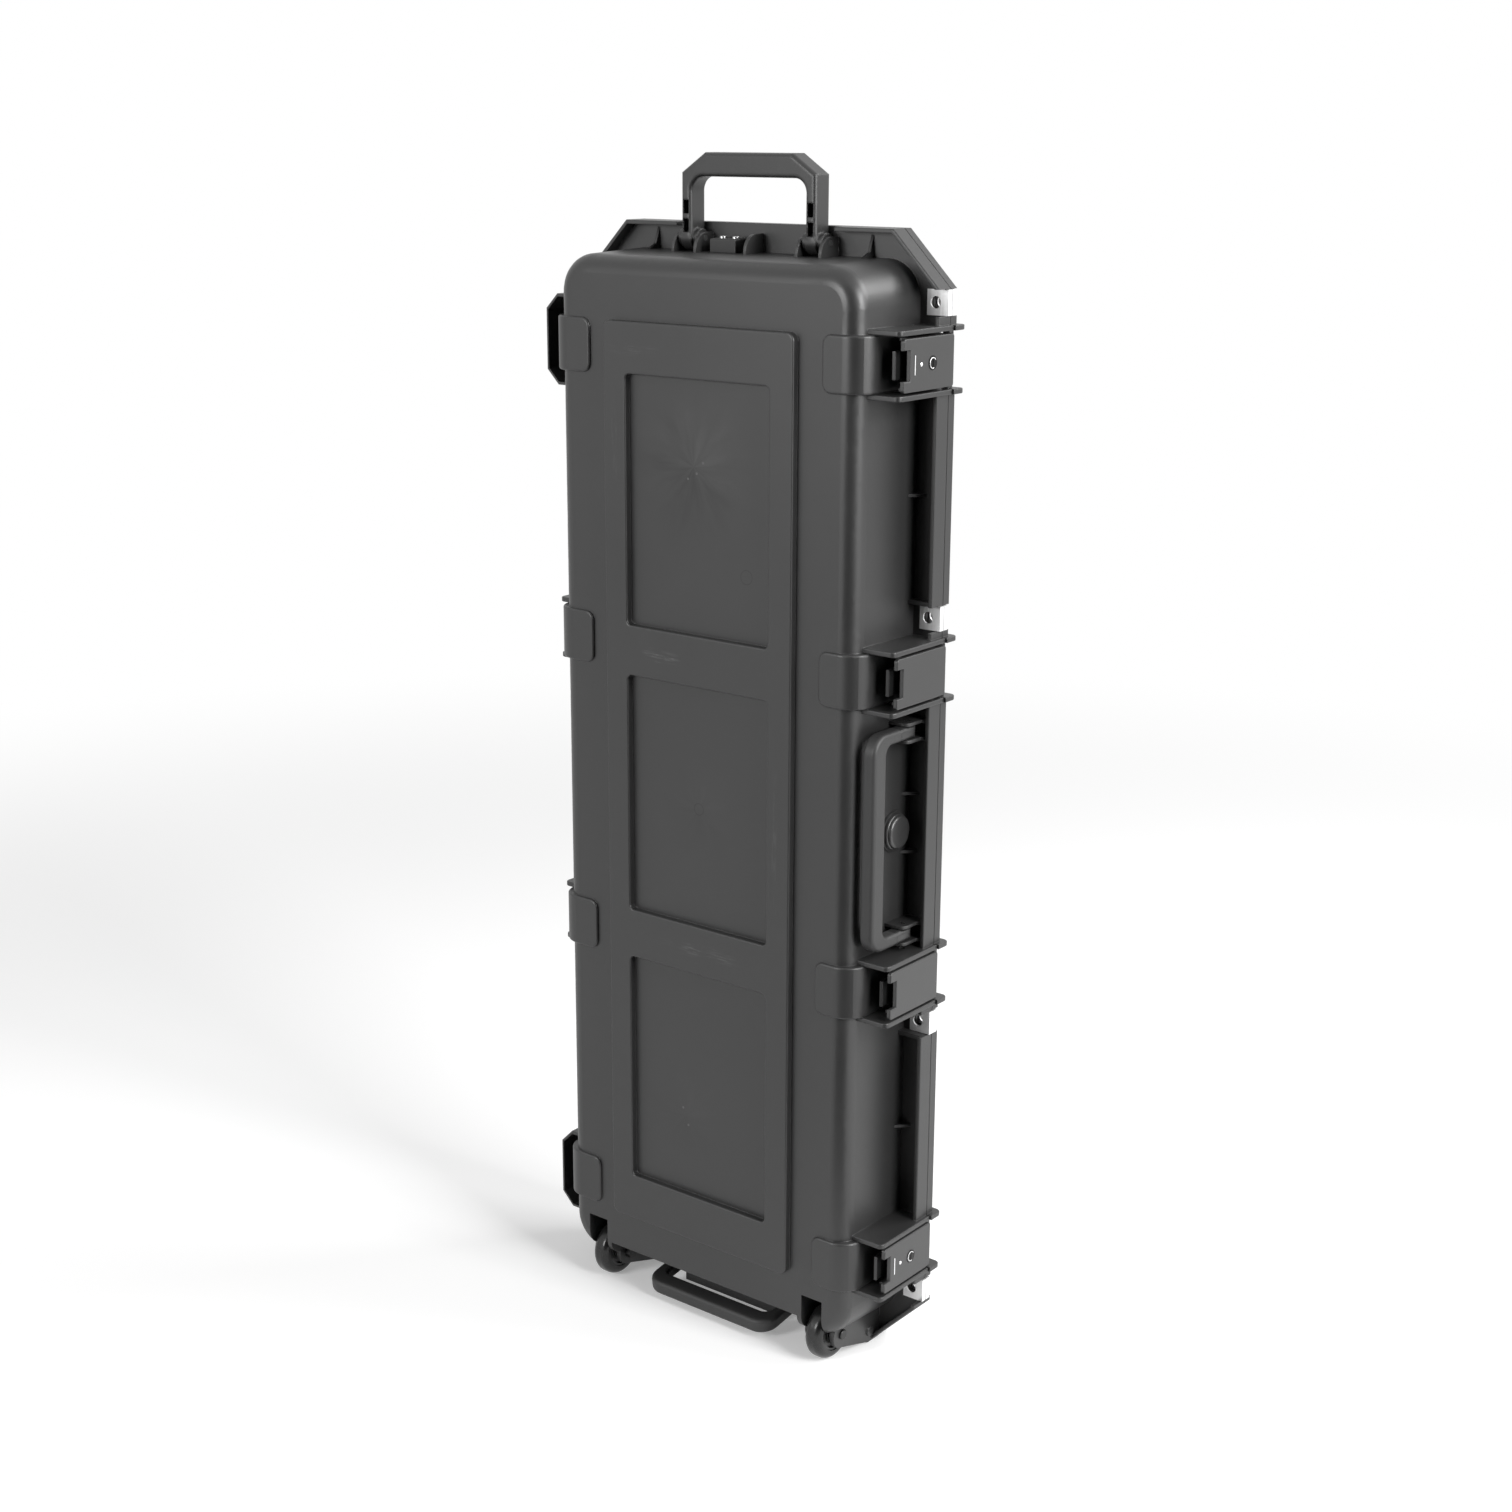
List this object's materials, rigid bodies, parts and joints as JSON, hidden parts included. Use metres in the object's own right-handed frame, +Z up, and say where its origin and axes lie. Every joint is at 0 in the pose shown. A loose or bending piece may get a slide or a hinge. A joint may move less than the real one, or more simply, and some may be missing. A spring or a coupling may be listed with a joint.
{
  "type": "guitar flight case",
  "caption": "Long wheeled hard case for an electric guitar: deep base, hinged lid, trigger latches, folding handles and cut foam.",
  "frame": {"origin": "middle of the case's outline seen from above, on the floor that it stands on", "axes": "+Z up the case's length, +Y from the deep half's front to the lid's back, +X towards the latches"},
  "size_m": [0.448, 0.156, 1.215],
  "materials": {
    "case_plastic": "fine moulded texture, charcoal",
    "latch_plastic": "satin moulded",
    "trigger_plastic": "satin moulded",
    "handle_plastic": "satin moulded",
    "grip_rubber": "soft matte",
    "plate_steel": "bright sheet",
    "pin_steel": "ground",
    "lock_metal": "plated",
    "axle_steel": "dark plated",
    "wheel_tyre": "matte tread",
    "hub_plastic": "satin",
    "valve_plastic": "satin",
    "gasket_rubber": "cord",
    "foam": "cut foam"
  },
  "bodies": {
    "base": {"base_shell": "case_plastic", "base_right_edge": "case_plastic", "base_left_edge": "case_plastic", "base_head_edge": "case_plastic", "rim_gasket": "gasket_rubber", "lock_plates_base": "plate_steel", "hinge_pins": "pin_steel", "side_handle_pins": "pin_steel", "bottom_handle_pins": "pin_steel", "tow_handle_pins": "pin_steel", "handle_stop": "grip_rubber", "handle_stop_screws": "pin_steel", "axles": "axle_steel", "axle_nuts": "axle_steel", "valve_body": "valve_plastic", "valve_cap": "valve_plastic", "valve_nut": "valve_plastic", "base_foam_tray": "foam", "neck_cradle": "foam"},
    "lid": {"lid_shell": "case_plastic", "lid_right_edge": "case_plastic", "lid_foam_pad": "foam", "lock_plates_lid": "plate_steel", "latch_pins": "pin_steel"},
    "side_handle": {"side_handle_frame": "handle_plastic", "side_handle_grip": "grip_rubber"},
    "bottom_handle": {"bottom_handle_frame": "handle_plastic", "bottom_handle_grip": "grip_rubber"},
    "tow_handle": {"tow_handle": "handle_plastic"},
    "wheel_right": {"tyre_right": "wheel_tyre", "wheel_hub_right": "hub_plastic", "wheel_bearings_right": "axle_steel"},
    "wheel_left": {"tyre_left": "wheel_tyre", "wheel_hub_left": "hub_plastic", "wheel_bearings_left": "axle_steel"},
    "latch_1": {"latch_1": "latch_plastic", "trigger_pin_1": "pin_steel", "trigger_spring_1": "pin_steel"},
    "trigger_1": {"trigger_1": "trigger_plastic"},
    "lock_1": {"lock_cylinder_1": "lock_metal"},
    "latch_2": {"latch_2": "latch_plastic", "trigger_pin_2": "pin_steel", "trigger_spring_2": "pin_steel"},
    "trigger_2": {"trigger_2": "trigger_plastic"},
    "latch_3": {"latch_3": "latch_plastic", "trigger_pin_3": "pin_steel", "trigger_spring_3": "pin_steel"},
    "trigger_3": {"trigger_3": "trigger_plastic"},
    "latch_4": {"latch_4": "latch_plastic", "trigger_pin_4": "pin_steel", "trigger_spring_4": "pin_steel"},
    "trigger_4": {"trigger_4": "trigger_plastic"},
    "lock_4": {"lock_cylinder_4": "lock_metal"}
  },
  "joints": [
    {"name": "lid_hinge", "type": "hinge", "parent": "base", "child": "lid", "pos_m": [-0.219, 0.031, 0.57625], "axis": [0, 0, 1], "range_deg": [0, 105]},
    {"name": "latch_1_hinge", "type": "hinge", "parent": "lid", "child": "latch_1", "pos_m": [0.212, 0.037, 1.02975], "axis": [0, 0, 1], "range_deg": [0, 110]},
    {"name": "trigger_1_pull", "type": "hinge", "parent": "latch_1", "child": "trigger_1", "pos_m": [0.211, -0.016, 1.02975], "axis": [0, 0, 1], "range_deg": [0, 16], "stiffness_Nm_per_rad": 0.03, "springref_deg": -17.19},
    {"name": "lock_1_turn", "type": "hinge", "parent": "latch_1", "child": "lock_1", "pos_m": [0.2125, -0.0027, 1.02975], "axis": [1, 0, 0], "range_deg": [0, 90]},
    {"name": "latch_2_hinge", "type": "hinge", "parent": "lid", "child": "latch_2", "pos_m": [0.212, 0.037, 0.73275], "axis": [0, 0, 1], "range_deg": [0, 110]},
    {"name": "trigger_2_pull", "type": "hinge", "parent": "latch_2", "child": "trigger_2", "pos_m": [0.211, -0.016, 0.73275], "axis": [0, 0, 1], "range_deg": [0, 16], "stiffness_Nm_per_rad": 0.03, "springref_deg": -17.19},
    {"name": "latch_3_hinge", "type": "hinge", "parent": "lid", "child": "latch_3", "pos_m": [0.212, 0.037, 0.41975], "axis": [0, 0, 1], "range_deg": [0, 110]},
    {"name": "trigger_3_pull", "type": "hinge", "parent": "latch_3", "child": "trigger_3", "pos_m": [0.211, -0.016, 0.41975], "axis": [0, 0, 1], "range_deg": [0, 16], "stiffness_Nm_per_rad": 0.03, "springref_deg": -17.19},
    {"name": "latch_4_hinge", "type": "hinge", "parent": "lid", "child": "latch_4", "pos_m": [0.212, 0.037, 0.12275], "axis": [0, 0, 1], "range_deg": [0, 110]},
    {"name": "trigger_4_pull", "type": "hinge", "parent": "latch_4", "child": "trigger_4", "pos_m": [0.211, -0.016, 0.12275], "axis": [0, 0, 1], "range_deg": [0, 16], "stiffness_Nm_per_rad": 0.03, "springref_deg": -17.19},
    {"name": "lock_4_turn", "type": "hinge", "parent": "latch_4", "child": "lock_4", "pos_m": [0.2125, -0.0027, 0.12275], "axis": [1, 0, 0], "range_deg": [0, 90]},
    {"name": "side_handle_swing", "type": "hinge", "parent": "base", "child": "side_handle", "pos_m": [0.2, 0.001, 0.5715], "axis": [0, 0, 1], "range_deg": [0, 90]},
    {"name": "bottom_handle_swing", "type": "hinge", "parent": "base", "child": "bottom_handle", "pos_m": [0, 0.001, 0.0245], "axis": [1, 0, 0], "range_deg": [-20, 80]},
    {"name": "tow_handle_fold", "type": "hinge", "parent": "base", "child": "tow_handle", "pos_m": [0, 0.013, 1.1331], "axis": [1, 0, 0], "range_deg": [0, 90]},
    {"name": "wheel_right_spin", "type": "hinge", "parent": "base", "child": "wheel_right", "pos_m": [0.1465, -0.041, 0.03], "axis": [1, 0, 0], "continuous": true},
    {"name": "wheel_left_spin", "type": "hinge", "parent": "base", "child": "wheel_left", "pos_m": [-0.1465, -0.041, 0.03], "axis": [1, 0, 0], "continuous": true}
  ]
}
